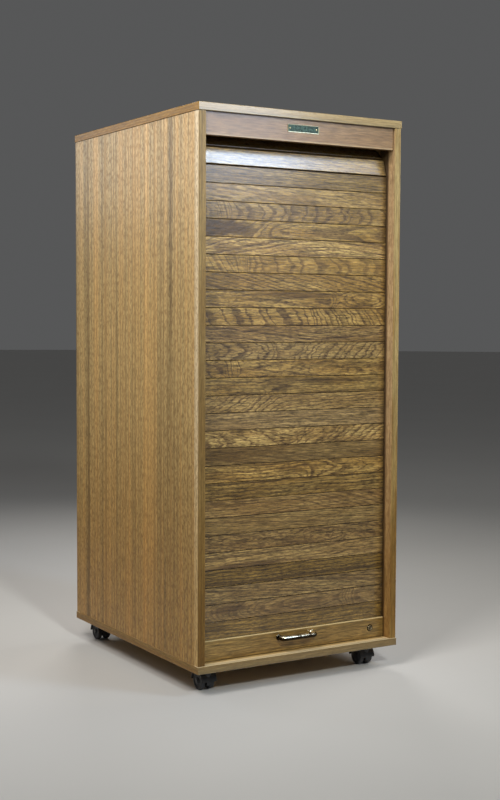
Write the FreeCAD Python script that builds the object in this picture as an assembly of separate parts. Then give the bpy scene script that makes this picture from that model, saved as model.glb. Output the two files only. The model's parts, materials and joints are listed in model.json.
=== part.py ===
import FreeCAD, Part
import math
import os

# Case: overall size and boards, in millimetres
body_width = 532.0
body_depth = 637.0
body_height = 1215.0
board = 17.0
thin_board = 6.0
overhang = 1.5
edge_ease = 0.8
caster_height = 52.0

# Tambour curtain: slats on a canvas, running in grooves in the sides
slat_gap = 0.7
slat_thick = 9.0
slat_ease = 0.9
slat_recess = 30.0
front_slats = 27
hidden_slats = 2
tongue_thick = 6.0
tongue_length = 6.5
shoulder_gap = 1.5
bend_radius = 64.0
run_drop = 44.0
canvas_thick = 0.6
canvas_margin = 12.0
canvas_on_rail = 30.0
canvas_hole_room = 2.0
canvas_lock_room = 4.0

# Grooves and housings cut in the sides
groove_depth = 8.0
groove_clear = 0.4
bend_slack = 0.7
housing_depth = 4.0
housing_clear = 0.2
back_rebate = 8.0
track_to_back = 6.0

# Bottom rail of the curtain with its pull and lock
rail_height = 47.0
rail_proud = 4.5
rail_ease = 1.6
pull_centres = 89.0
pull_rod = 4.5
pull_foot = 6.0
pull_foot_thick = 2.0
pull_reach = 20.5
pull_above_base = 33.0
pull_screw_rad = 2.0
pull_head_rad = 4.0
pull_head_thick = 2.5
pull_screw_grip = 8.0
lock_from_side = 39.0
lock_above_base = 25.0
bezel_rad = 9.5
bezel_thick = 1.8
barrel_rad = 8.0
plug_rad = 6.2
running_fit = 0.05
bezel_ease = 0.7
plug_sink = 0.3
plug_to_bolt = 0.5
housing_width = 26.0
housing_thick = 12.0
housing_lift = 2.5
housing_above = 13.0
bolt_width = 12.0
bolt_thick = 5.0
bolt_height = 22.0
bolt_throw = 8.0
bolt_lift = 3.0
bolt_room_clear = 0.5
key_slot_width = 1.8
key_slot_height = 7.6
key_slot_deep = 3.0
strike_width = 40.0
strike_depth = 20.0
strike_thick = 1.5
strike_screw_inset = 6.0

# Header above the door, and its plate
header_height = 49.0
header_recess = 6.0
plate_width = 82.0
plate_height = 17.0
plate_thick = 1.0
plate_raise = 4.5
plate_corner = 2.0
plate_pin_rad = 1.4
plate_pin_head = 2.2
plate_pin_dome = 0.8
plate_pin_length = 8.0
plate_pin_inset = 6.0

# Inside: false ceiling, false back, shelves on spoon pins
ceiling_slack = 4.4
ceiling_front = 56.0
false_back_gap = 53.0
shelf_count = 3
shelf_behind_curtain = 22.0
shelf_side_clear = 0.5
pin_rad = 2.5
pin_in_side = 8.0
spoon_width = 8.0
spoon_reach = 9.0
spoon_thick = 2.0
pin_from_edge = 45.0
spoon_root = 1.5

# Fixings
dowel_rad = 4.0
dowel_length = 30.0
dowel_in_panel = 10.0
screw_rad = 2.0
screw_length = 12.0
screw_head_rad = 3.8
screw_head_deep = 2.0
back_screw_rows = 4
back_screw_inset = 60.0
dowel_front_inset = 70.0
dowel_back_inset = 110.0

# Twin-wheel swivel casters
caster_inset = 52.0
caster_plate = 42.0
caster_plate_thick = 2.5
caster_screw_offset = 15.0
stem_rad = 4.0
stem_length = 20.0
socket_rad = 8.0
wheel_rad = 20.0
wheel_width = 12.0
wheel_gap = 11.0
wheel_ease = 2.0
axle_rad = 3.0
axle_cap_rad = 5.5
axle_cap_thick = 1.4
wheel_side_clear = 0.5
trail = 14.0
hood_clear = 1.8
hood_thick = 2.4
socket_floor = 4.0
socket_gap = 1.0
web_below_axle = 8.0

# Places worked out from the sizes above
front_y = -body_depth / 2 + overhang
back_y = body_depth / 2 - overhang
base_z = caster_height
floor_z = base_z + board
ceiling_z = base_z + body_height - board
top_z = base_z + body_height
side_out = body_width / 2 - overhang
side_in = side_out - board
canvas_y = front_y + slat_recess + slat_thick
rail_front_y = front_y + slat_recess - rail_proud
rail_top_z = floor_z + rail_height
run_z = ceiling_z - run_drop
bend_z = run_z - bend_radius
slat_pitch = (bend_z - rail_top_z) / front_slats
bend_clear = bend_radius - math.sqrt(bend_radius ** 2 - (slat_pitch / 2) ** 2) + bend_slack
rear_canvas_y = back_y - thin_board - track_to_back - slat_thick
front_centre_y = canvas_y + bend_radius
rear_centre_y = rear_canvas_y - bend_radius
false_back_y = rear_canvas_y - false_back_gap - thin_board
false_ceiling_z = run_z - bend_clear - ceiling_slack - thin_board
shelf_front_y = canvas_y + shelf_behind_curtain
shelf_back_y = false_back_y - shelf_side_clear
bay_height = (false_ceiling_z - floor_z - shelf_count * board) / (shelf_count + 1)
lock_x = side_in - lock_from_side
lock_z = floor_z + lock_above_base
pull_z = floor_z + pull_above_base
pull_y = rail_front_y - pull_reach
slat_count = front_slats + hidden_slats
door_travel = front_slats * slat_pitch
bolt_y = canvas_y + (housing_thick - bolt_thick) / 2
bolt_low_z = floor_z + bolt_lift
axle_z = wheel_rad
caster_x = body_width / 2 - caster_inset
caster_y = body_depth / 2 - caster_inset
caster_names = ["fl", "fr", "bl", "br"]
caster_places = [(-caster_x, -caster_y), (caster_x, -caster_y), (-caster_x, caster_y), (caster_x, caster_y)]


def box(x0, x1, y0, y1, z0, z1):
    return Part.makeBox(x1 - x0, y1 - y0, z1 - z0, FreeCAD.Vector(x0, y0, z0))


def rod(radius, length, start, direction):
    return Part.makeCylinder(radius, length, FreeCAD.Vector(*start), FreeCAD.Vector(*direction))


def eased(solid, size, keep):
    edges = [e for e in solid.Edges if keep(e)]
    return solid.makeChamfer(size, edges)


def joined(shapes):
    solid = shapes[0]
    for other in shapes[1:]:
        solid = solid.fuse(other)
    return solid.removeSplitter()


def along(edge, axis):
    ends = [v.Point for v in edge.Vertexes]
    if len(ends) < 2:
        return False
    step = ends[1] - ends[0]
    return abs(abs(step.dot(FreeCAD.Vector(*axis))) - step.Length) < 1e-6


# The curtain's track: canvas line up the front, over the top and down behind the false back
front_length = bend_z - rail_top_z
arc_length = math.pi / 2 * bend_radius
run_length = rear_centre_y - front_centre_y


def track_point(u):
    if u <= front_length:
        return canvas_y, rail_top_z + u
    u -= front_length
    if u <= arc_length:
        a = u / bend_radius
        return front_centre_y - bend_radius * math.cos(a), bend_z + bend_radius * math.sin(a)
    u -= arc_length
    if u <= run_length:
        return front_centre_y + u, run_z
    u -= run_length
    if u <= arc_length:
        a = u / bend_radius
        return rear_centre_y + bend_radius * math.sin(a), bend_z + bend_radius * math.cos(a)
    u -= arc_length
    return rear_canvas_y, bend_z - u


# Knuckles one pitch apart along the track, for the closed and the open curtain
def track_knuckles():
    places = [0.0]
    points = [track_point(0.0)]
    for _ in range(slat_count + front_slats):
        low = places[-1]
        high = places[-1] + 2 * slat_pitch
        y0, z0 = points[-1]
        for _ in range(80):
            middle = (low + high) / 2
            y, z = track_point(middle)
            if math.hypot(y - y0, z - z0) < slat_pitch:
                low = middle
            else:
                high = middle
        places.append(high)
        points.append(track_point(high))
    return points


knuckles = track_knuckles()
track_end_z = knuckles[-1][1] - slat_pitch


# Turn that carries a slat from its closed place to its open place: pole and angle
def slat_turn(number):
    y0, z0 = knuckles[number - 1]
    y1, z1 = knuckles[number]
    v0, w0 = knuckles[number - 1 + front_slats]
    v1, w1 = knuckles[number + front_slats]
    angle = math.atan2(v1 - v0, w1 - w0) - math.atan2(y1 - y0, z1 - z0)
    if angle < 0:
        angle += 2 * math.pi
    c = math.cos(angle)
    s = math.sin(angle)
    ry = v0 - (c * y0 + s * z0)
    rz = w0 - (-s * y0 + c * z0)
    det = (1 - c) ** 2 + s * s
    pole_y = ((1 - c) * ry + s * rz) / det
    pole_z = (-s * ry + (1 - c) * rz) / det
    return pole_y, pole_z, angle


# One slat: flat face with eased edges, rebated ends that leave tongues for the grooves
def slat_between(start, end):
    y0, z0 = start
    y1, z1 = end
    ty = (y1 - y0) / slat_pitch
    tz = (z1 - z0) / slat_pitch

    def place(x, u, v):
        return FreeCAD.Vector(x, y0 + ty * u - tz * v, z0 + tz * u + ty * v)

    low = slat_gap / 2
    high = slat_pitch - slat_gap / 2
    face = slat_thick - slat_ease
    shoulder = side_in - shoulder_gap
    tip = side_in + tongue_length
    outline = [(low, 0), (high, 0), (high, face), (high - slat_ease, slat_thick)]
    outline += [(low + slat_ease, slat_thick), (low, face)]
    tongue = [(low, 0), (high, 0), (high, tongue_thick), (low, tongue_thick)]

    def prism(profile, x0, x1):
        points = [place(x0, u, v) for u, v in profile]
        wire = Part.makePolygon(points + [points[0]])
        return Part.Face(wire).extrude(FreeCAD.Vector(x1 - x0, 0, 0))

    return joined([prism(outline, -shoulder, shoulder), prism(tongue, -tip, tip)])


def slat(number):
    return slat_between(knuckles[number - 1], knuckles[number])


# Quarter of a ring in the plane of the track, from the front-facing side or the rear-facing side
def track_quarter(centre_y, rear, x0, depth):
    outer = bend_radius + tongue_thick + groove_clear
    inner = bend_radius - bend_clear
    ring = rod(outer, depth, (x0, centre_y, bend_z), (1, 0, 0))
    ring = ring.cut(rod(inner, depth, (x0, centre_y, bend_z), (1, 0, 0)))
    reach = outer + 1
    if rear:
        keep = box(x0, x0 + depth, centre_y, centre_y + reach, bend_z, bend_z + reach)
    else:
        keep = box(x0, x0 + depth, centre_y - reach, centre_y, bend_z, bend_z + reach)
    return ring.common(keep)


# The routed track in one side: narrow on the straights, wider in and next to the bends
def track_groove(x0, depth):
    x1 = x0 + depth
    near = groove_clear
    out = tongue_thick + groove_clear
    lead = slat_pitch
    parts = [box(x0, x1, canvas_y - out, canvas_y + near, floor_z, bend_z)]
    parts.append(box(x0, x1, canvas_y - out, canvas_y + bend_clear, bend_z - lead, bend_z))
    parts.append(track_quarter(front_centre_y, False, x0, depth))
    parts.append(box(x0, x1, front_centre_y, rear_centre_y, run_z - near, run_z + out))
    parts.append(box(x0, x1, front_centre_y, front_centre_y + lead, run_z - bend_clear, run_z + out))
    parts.append(box(x0, x1, rear_centre_y - lead, rear_centre_y, run_z - bend_clear, run_z + out))
    parts.append(track_quarter(rear_centre_y, True, x0, depth))
    parts.append(box(x0, x1, rear_canvas_y - bend_clear, rear_canvas_y + out, bend_z - lead, bend_z))
    parts.append(box(x0, x1, rear_canvas_y - near, rear_canvas_y + out, track_end_z, bend_z))
    return joined(parts)


# Side panel: board with the track, housings for false ceiling and back, rebate for the back panel
def side_panel(sign):
    if sign < 0:
        panel = box(-side_out, -side_in, front_y, back_y, floor_z, ceiling_z)
        groove_x = -side_in - groove_depth
        housing_x = -side_in - housing_depth
        rebate_x = -side_in - back_rebate
    else:
        panel = box(side_in, side_out, front_y, back_y, floor_z, ceiling_z)
        groove_x = side_in
        housing_x = side_in
        rebate_x = side_in
    panel = eased(panel, edge_ease, lambda e: along(e, (0, 0, 1)) and e.BoundBox.YMin < front_y + 1e-6)
    cuts = [track_groove(groove_x, groove_depth)]
    ceiling_low = false_ceiling_z
    ceiling_high = false_ceiling_z + thin_board + housing_clear
    ceiling_start = canvas_y + ceiling_front
    ceiling_end = false_back_y + thin_board + housing_clear
    hx1 = housing_x + housing_depth
    cuts.append(box(housing_x, hx1, ceiling_start, ceiling_end, ceiling_low, ceiling_high))
    cuts.append(box(housing_x, hx1, false_back_y, ceiling_end, floor_z, ceiling_low))
    cuts.append(box(rebate_x, rebate_x + back_rebate, back_y - thin_board, back_y, floor_z, ceiling_z))
    for cut in cuts:
        panel = panel.cut(cut)
    return panel


# Top and bottom boards, a little proud of the sides all round
def flat_panel(low_z):
    half_w = body_width / 2
    half_d = body_depth / 2
    panel = box(-half_w, half_w, -half_d, half_d, low_z, low_z + board)
    return eased(panel, edge_ease, lambda e: True)


def shelf_low(i):
    return floor_z + (i + 1) * bay_height + i * board


# Curtain pieces that hang on the bottom rail
def bottom_rail():
    shoulder = side_in - shoulder_gap
    tip = side_in + tongue_length
    top = rail_top_z - slat_gap / 2
    rail = box(-shoulder, shoulder, rail_front_y, canvas_y, floor_z, top)
    rail = eased(rail, rail_ease, lambda e: along(e, (1, 0, 0)) and e.BoundBox.YMin < rail_front_y + 1e-6)
    tongues = box(-tip, tip, canvas_y - tongue_thick, canvas_y, floor_z, top)
    rail = joined([rail, tongues])
    rail = rail.cut(rod(barrel_rad, slat_recess, (lock_x, rail_front_y, lock_z), (0, 1, 0)))
    for x in (-pull_centres / 2, pull_centres / 2):
        rail = rail.cut(rod(pull_screw_rad, slat_recess, (x, rail_front_y, pull_z), (0, 1, 0)))
    return rail


# Canvas glued to the back of the slats and of the rail
def canvas_sheet():
    half = side_in - canvas_margin
    front = [(canvas_y, rail_top_z - canvas_on_rail)] + knuckles[front_slats:slat_count + 1]
    back = []
    for i in range(len(front)):
        before = front[max(i - 1, 0):i + 1]
        after = front[i:i + 2]
        normals = []
        for pair in (before, after):
            if len(pair) == 2:
                dy = pair[1][0] - pair[0][0]
                dz = pair[1][1] - pair[0][1]
                size = math.hypot(dy, dz)
                normals.append((dz / size, -dy / size))
        ny = sum(n[0] for n in normals) / len(normals)
        nz = sum(n[1] for n in normals) / len(normals)
        scale = canvas_thick / (ny * ny + nz * nz)
        back.append((front[i][0] + ny * scale, front[i][1] + nz * scale))
    outline = front + back[::-1]
    points = [FreeCAD.Vector(-half, y, z) for y, z in outline]
    sheet = Part.Face(Part.makePolygon(points + [points[0]])).extrude(FreeCAD.Vector(2 * half, 0, 0))
    hole_rad = pull_head_rad + canvas_hole_room
    for x in (-pull_centres / 2, pull_centres / 2):
        sheet = sheet.cut(rod(hole_rad, slat_thick, (x, canvas_y - 1, pull_z), (0, 1, 0)))
    room = housing_width / 2 + canvas_lock_room
    notch_top = lock_z + housing_above + canvas_lock_room
    notch = box(lock_x - room, lock_x + room, canvas_y - 1, canvas_y + housing_thick, floor_z, notch_top)
    return sheet.cut(notch)


# Bow pull: a straight bar with rounded corners on two posts with round feet
def pull_bow():
    half = pull_centres / 2
    post = rail_front_y - pull_y
    parts = [rod(pull_rod, pull_centres, (-half, pull_y, pull_z), (1, 0, 0))]
    for x in (-half, half):
        parts.append(rod(pull_rod, post, (x, pull_y, pull_z), (0, 1, 0)))
        parts.append(Part.makeSphere(pull_rod, FreeCAD.Vector(x, pull_y, pull_z)))
        parts.append(rod(pull_foot, pull_foot_thick, (x, rail_front_y - pull_foot_thick, pull_z), (0, 1, 0)))
    bow = joined(parts)
    for x in (-half, half):
        bow = bow.cut(rod(pull_screw_rad, pull_screw_grip, (x, rail_front_y, pull_z), (0, -1, 0)))
    return bow


def pull_screw(x):
    grip_y = rail_front_y - pull_screw_grip
    shank = rod(pull_screw_rad, canvas_y - grip_y, (x, grip_y, pull_z), (0, 1, 0))
    head = rod(pull_head_rad, pull_head_thick, (x, canvas_y, pull_z), (0, 1, 0))
    return joined([shank, head])


# Lock body: bezel on the face, barrel through the rail, housing with the bolt's channel behind
def lock_body():
    bezel = rod(bezel_rad, bezel_thick, (lock_x, rail_front_y - bezel_thick, lock_z), (0, 1, 0))
    bezel = eased(bezel, bezel_ease, lambda e: e.BoundBox.YMax < rail_front_y - bezel_thick + 1e-6)
    barrel = rod(barrel_rad, canvas_y - rail_front_y, (lock_x, rail_front_y, lock_z), (0, 1, 0))
    x0 = lock_x - housing_width / 2
    x1 = lock_x + housing_width / 2
    housing = box(x0, x1, canvas_y, canvas_y + housing_thick, floor_z + housing_lift, lock_z + housing_above)
    body = joined([bezel, barrel, housing])
    body = body.cut(rod(plug_rad + running_fit, bolt_y - rail_front_y + bezel_thick,
                        (lock_x, rail_front_y - bezel_thick, lock_z), (0, 1, 0)))
    half = bolt_width / 2 + running_fit
    channel = box(lock_x - half, lock_x + half, bolt_y - running_fit, bolt_y + bolt_thick,
                  floor_z, bolt_low_z + bolt_height)
    return body.cut(channel)


def lock_plug():
    start = rail_front_y - bezel_thick + plug_sink
    plug = rod(plug_rad, bolt_y - plug_to_bolt - start, (lock_x, start, lock_z), (0, 1, 0))
    half_w = key_slot_width / 2
    half_h = key_slot_height / 2
    return plug.cut(box(lock_x - half_w, lock_x + half_w, start, start + key_slot_deep,
                        lock_z - half_h, lock_z + half_h))


def lock_bolt():
    half = bolt_width / 2
    return box(lock_x - half, lock_x + half, bolt_y, bolt_y + bolt_thick, bolt_low_z, bolt_low_z + bolt_height)


# Strike plate let into the bottom board below the bolt
def strike_room(grow):
    middle = bolt_y + bolt_thick / 2
    return box(lock_x - strike_width / 2 - grow, lock_x + strike_width / 2 + grow,
               middle - strike_depth / 2 - grow, middle + strike_depth / 2 + grow,
               floor_z - strike_thick, floor_z)


def bolt_room(low_z):
    half = bolt_width / 2 + bolt_room_clear
    near = bolt_y - bolt_room_clear
    far = bolt_y + bolt_thick + bolt_room_clear
    return box(lock_x - half, lock_x + half, near, far, low_z, floor_z)


# Plain plate on the header, held by two dome-headed pins
plate_y = front_y + header_recess - plate_thick
plate_z = ceiling_z - header_height / 2 + plate_raise
plate_pins_x = (-plate_width / 2 + plate_pin_inset, plate_width / 2 - plate_pin_inset)


def plate_pin(x):
    shank = rod(plate_pin_rad, plate_pin_length, (x, plate_y, plate_z), (0, 1, 0))
    head = Part.makeCone(plate_pin_head * 0.5, plate_pin_head, plate_pin_dome,
                         FreeCAD.Vector(x, plate_y - plate_pin_dome, plate_z), FreeCAD.Vector(0, 1, 0))
    return joined([shank, head])


# Countersunk screw: point of the head's middle and driving direction
def wood_screw(at, direction):
    head = Part.makeCone(screw_head_rad, screw_rad, screw_head_deep,
                         FreeCAD.Vector(*at), FreeCAD.Vector(*direction))
    return joined([head, rod(screw_rad, screw_length, at, direction)])


def back_screws():
    screws = []
    x = side_in + back_rebate / 2
    for sx in (-x, x):
        for i in range(back_screw_rows):
            span = ceiling_z - floor_z - 2 * back_screw_inset
            z = floor_z + back_screw_inset + i * span / (back_screw_rows - 1)
            screws.append(wood_screw((sx, back_y, z), (0, -1, 0)))
    return screws


def caster_screws():
    screws = []
    low = base_z - caster_plate_thick
    for cx, cy in caster_places:
        for dx in (-caster_screw_offset, caster_screw_offset):
            for dy in (-caster_screw_offset, caster_screw_offset):
                screws.append(wood_screw((cx + dx, cy + dy, low), (0, 0, 1)))
    return screws


def strike_screws():
    y = bolt_y + bolt_thick / 2
    x = strike_width / 2 - strike_screw_inset
    return [wood_screw((lock_x + dx, y, floor_z), (0, 0, -1)) for dx in (-x, x)]


def dowel_set():
    dowels = []
    x = side_in + board / 2
    header_y = front_y + header_recess + board / 2
    for sx in (-x, x):
        for y in (front_y + dowel_front_inset, 0.0, back_y - dowel_back_inset):
            dowels.append(rod(dowel_rad, dowel_length, (sx, y, floor_z - dowel_in_panel), (0, 0, 1)))
            dowels.append(rod(dowel_rad, dowel_length, (sx, y, ceiling_z + dowel_in_panel), (0, 0, -1)))
    for sx in (-side_in / 2, side_in / 2):
        dowels.append(rod(dowel_rad, dowel_length, (sx, header_y, ceiling_z + dowel_in_panel), (0, 0, -1)))
    return dowels


# Spoon pin: shank in the side, flat spoon under the shelf
def shelf_pin(sign, y, z):
    x = sign * side_in
    shank = rod(pin_rad, pin_in_side, (x, y, z - spoon_thick - pin_rad), (sign, 0, 0))
    x0, x1 = sorted((x, x - sign * spoon_reach))
    spoon = box(x0, x1, y - spoon_width / 2, y + spoon_width / 2, z - spoon_thick, z)
    r0, r1 = sorted((x, x - sign * spoon_root))
    root = box(r0, r1, y - pin_rad, y + pin_rad, z - spoon_thick - 2 * pin_rad, z - spoon_thick)
    return joined([shank, root, spoon])


def shelf_pins():
    pins = []
    for i in range(shelf_count):
        for sign in (-1, 1):
            for y in (shelf_front_y + pin_from_edge, shelf_back_y - pin_from_edge):
                pins.append(shelf_pin(sign, y, shelf_low(i)))
    return pins


# Caster parts: fixed plate with stem, swivelling hood with axle, two wheels
def caster_plate_at(cx, cy):
    half = caster_plate / 2
    low = base_z - caster_plate_thick
    plate = box(cx - half, cx + half, cy - half, cy + half, low, base_z)
    return joined([plate, rod(stem_rad, stem_length, (cx, cy, low), (0, 0, -1))])


def caster_hood(cx, cy):
    stem_low = base_z - caster_plate_thick - stem_length
    socket_top = base_z - caster_plate_thick - socket_gap
    ay = cy + trail
    web = wheel_gap / 2 - wheel_side_clear
    outer_x = wheel_gap / 2 + wheel_width + wheel_side_clear
    inner_r = wheel_rad + hood_clear
    outer_r = inner_r + hood_thick
    socket_low = stem_low - socket_floor
    parts = [rod(socket_rad, socket_top - socket_low, (cx, cy, socket_low), (0, 0, 1))]
    disc = rod(outer_r, 2 * web, (cx - web, ay, axle_z), (1, 0, 0))
    web_low = axle_z - web_below_axle
    parts.append(disc.common(box(cx - web, cx + web, ay - outer_r, ay + outer_r, web_low, axle_z + outer_r)))
    width = outer_x + axle_cap_thick
    shell = rod(outer_r, 2 * width, (cx - width, ay, axle_z), (1, 0, 0))
    shell = shell.cut(rod(inner_r, 2 * width, (cx - width, ay, axle_z), (1, 0, 0)))
    upper = box(cx - width, cx + width, ay - outer_r, ay + outer_r, axle_z, axle_z + outer_r)
    parts.append(shell.common(upper))
    parts.append(rod(axle_rad, 2 * outer_x, (cx - outer_x, ay, axle_z), (1, 0, 0)))
    parts.append(rod(axle_cap_rad, axle_cap_thick, (cx - outer_x, ay, axle_z), (-1, 0, 0)))
    parts.append(rod(axle_cap_rad, axle_cap_thick, (cx + outer_x, ay, axle_z), (1, 0, 0)))
    hood = joined(parts)
    room = rod(wheel_rad + hood_clear, wheel_width + 2 * wheel_side_clear, (cx + web, ay, axle_z), (1, 0, 0))
    twin = rod(wheel_rad + hood_clear, wheel_width + 2 * wheel_side_clear, (cx - web, ay, axle_z), (-1, 0, 0))
    axle = rod(axle_rad, 2 * outer_x, (cx - outer_x, ay, axle_z), (1, 0, 0))
    hood = hood.cut(room.cut(axle)).cut(twin.cut(axle))
    return hood.cut(rod(stem_rad + running_fit, stem_length, (cx, cy, stem_low), (0, 0, 1)))


def caster_wheel(cx, cy, sign):
    ay = cy + trail
    start = cx + sign * wheel_gap / 2
    wheel = rod(wheel_rad, wheel_width, (start, ay, axle_z), (sign, 0, 0))
    wheel = wheel.makeFillet(wheel_ease, [e for e in wheel.Edges if len(e.Vertexes) == 1])
    return wheel.cut(rod(axle_rad + running_fit, wheel_width, (start, ay, axle_z), (sign, 0, 0)))


# Every piece by name; fixings cut their own holes
def all_pieces():
    pieces = {}
    dowels = dowel_set()
    backs = back_screws()
    casters = caster_screws()
    strikes = strike_screws()
    pins = shelf_pins()
    plate_pins = [plate_pin(x) for x in plate_pins_x]

    def drilled(solid, fixings):
        for fixing in fixings:
            if solid.BoundBox.intersect(fixing.BoundBox):
                solid = solid.cut(fixing)
        return solid

    bottom = flat_panel(base_z).cut(strike_room(0.0)).cut(bolt_room(floor_z - strike_thick - bolt_throw))
    pieces["bottom_panel"] = drilled(bottom, dowels + casters + strikes)
    pieces["top_panel"] = drilled(flat_panel(ceiling_z), dowels)
    pieces["left_side"] = drilled(side_panel(-1), dowels + backs + pins)
    pieces["right_side"] = drilled(side_panel(1), dowels + backs + pins)
    back_half = side_in + back_rebate
    back = box(-back_half, back_half, back_y - thin_board, back_y, floor_z, ceiling_z)
    pieces["back_panel"] = drilled(back, backs)
    header_y = front_y + header_recess
    header = box(-side_in, side_in, header_y, header_y + board, ceiling_z - header_height, ceiling_z)
    pieces["header_rail"] = drilled(header, dowels + plate_pins)
    plate = box(-plate_width / 2, plate_width / 2, plate_y, header_y,
                plate_z - plate_height / 2, plate_z + plate_height / 2)
    plate = eased(plate, plate_corner, lambda e: along(e, (0, 1, 0)))
    pieces["nameplate"] = drilled(plate, plate_pins)
    pieces["nameplate_pins"] = Part.makeCompound(plate_pins)
    half = side_in + housing_depth
    inner_end = false_back_y + thin_board
    pieces["inner_top"] = box(-half, half, canvas_y + ceiling_front, inner_end,
                              false_ceiling_z, false_ceiling_z + thin_board)
    pieces["inner_back"] = box(-half, half, false_back_y, inner_end, floor_z, false_ceiling_z)
    shelf_half = side_in - shelf_side_clear
    shelves = []
    for i in range(shelf_count):
        low = shelf_low(i)
        shelf = box(-shelf_half, shelf_half, shelf_front_y, shelf_back_y, low, low + board)
        front = lambda e: along(e, (1, 0, 0)) and e.BoundBox.YMax < shelf_front_y + 1
        shelves.append(eased(shelf, edge_ease, front))
    pieces["shelves"] = Part.makeCompound(shelves)
    pieces["shelf_pins"] = Part.makeCompound(pins)
    pieces["dowels"] = Part.makeCompound(dowels)
    pieces["wood_screws"] = Part.makeCompound(backs + casters + strikes)
    strike = strike_room(0.0).cut(bolt_room(floor_z - strike_thick))
    pieces["strike_plate"] = drilled(strike, strikes)
    for number in range(1, slat_count + 1):
        pieces["slat_%02d" % number] = slat(number)
    pieces["bottom_rail"] = bottom_rail()
    pieces["canvas_backing"] = canvas_sheet()
    pieces["pull"] = pull_bow()
    pieces["pull_screws"] = Part.makeCompound([pull_screw(x) for x in (-pull_centres / 2, pull_centres / 2)])
    pieces["lock_body"] = lock_body()
    pieces["lock_plug"] = lock_plug()
    pieces["lock_bolt"] = lock_bolt()
    plates = [drilled(caster_plate_at(cx, cy), casters) for cx, cy in caster_places]
    pieces["caster_plates"] = Part.makeCompound(plates)
    for name, (cx, cy) in zip(caster_names, caster_places):
        pieces["caster_hood_" + name] = caster_hood(cx, cy)
        wheels = [caster_wheel(cx, cy, sign) for sign in (-1, 1)]
        pieces["caster_wheels_" + name] = Part.makeCompound(wheels)
    return pieces


def main():
    os.makedirs("parts", exist_ok=True)
    for name, shape in all_pieces().items():
        shape.exportStep("parts/" + name + ".step")


if __name__ == "__main__":
    main()
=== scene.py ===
import bmesh
import bpy
import json
import math
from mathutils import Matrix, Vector

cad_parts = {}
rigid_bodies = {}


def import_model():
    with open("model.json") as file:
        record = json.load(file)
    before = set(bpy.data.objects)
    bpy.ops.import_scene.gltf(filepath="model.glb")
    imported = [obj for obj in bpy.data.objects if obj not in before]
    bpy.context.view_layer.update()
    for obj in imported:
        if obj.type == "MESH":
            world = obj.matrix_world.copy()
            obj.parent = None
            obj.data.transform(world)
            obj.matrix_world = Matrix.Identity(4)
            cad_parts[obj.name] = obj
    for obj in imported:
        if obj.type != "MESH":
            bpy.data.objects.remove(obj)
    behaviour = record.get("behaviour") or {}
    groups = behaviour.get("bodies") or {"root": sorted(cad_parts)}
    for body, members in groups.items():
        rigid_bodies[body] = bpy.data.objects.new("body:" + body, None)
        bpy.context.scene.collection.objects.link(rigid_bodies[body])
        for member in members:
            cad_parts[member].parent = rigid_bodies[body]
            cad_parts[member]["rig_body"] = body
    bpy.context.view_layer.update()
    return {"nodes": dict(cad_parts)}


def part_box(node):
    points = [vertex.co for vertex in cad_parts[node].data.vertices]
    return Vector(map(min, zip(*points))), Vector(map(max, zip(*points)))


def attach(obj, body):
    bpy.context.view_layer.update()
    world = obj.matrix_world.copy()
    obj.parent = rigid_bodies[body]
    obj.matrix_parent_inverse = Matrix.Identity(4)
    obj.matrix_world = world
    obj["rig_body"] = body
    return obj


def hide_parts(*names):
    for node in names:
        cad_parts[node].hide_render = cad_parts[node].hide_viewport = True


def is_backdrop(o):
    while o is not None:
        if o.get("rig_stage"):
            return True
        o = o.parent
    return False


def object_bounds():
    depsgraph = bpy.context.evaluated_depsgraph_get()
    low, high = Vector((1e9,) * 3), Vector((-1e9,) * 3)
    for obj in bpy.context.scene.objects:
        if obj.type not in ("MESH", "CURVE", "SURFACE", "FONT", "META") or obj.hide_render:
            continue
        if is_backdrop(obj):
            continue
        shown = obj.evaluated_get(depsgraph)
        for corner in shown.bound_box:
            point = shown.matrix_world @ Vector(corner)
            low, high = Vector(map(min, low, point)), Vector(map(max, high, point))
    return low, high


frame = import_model()
nodes = frame["nodes"]
bpy.ops.object.select_all(action="DESELECT")
mm = 0.001

# Bottom board: a 17 mm board veneered in oak and edged with solid oak strips that are mitred at the corners.
# It is stained and lacquered; the sides stand on it and the casters are screwed under it.
edge_strip, edge_shift = 10.0, 300.0
joint_line, joint_dark = 0.35, 0.55
# Sizes of a painted highlight along the front of the sill.
sill_depth, sill_fade, sill_skin = 13.0, 22.0, 0.5


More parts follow.
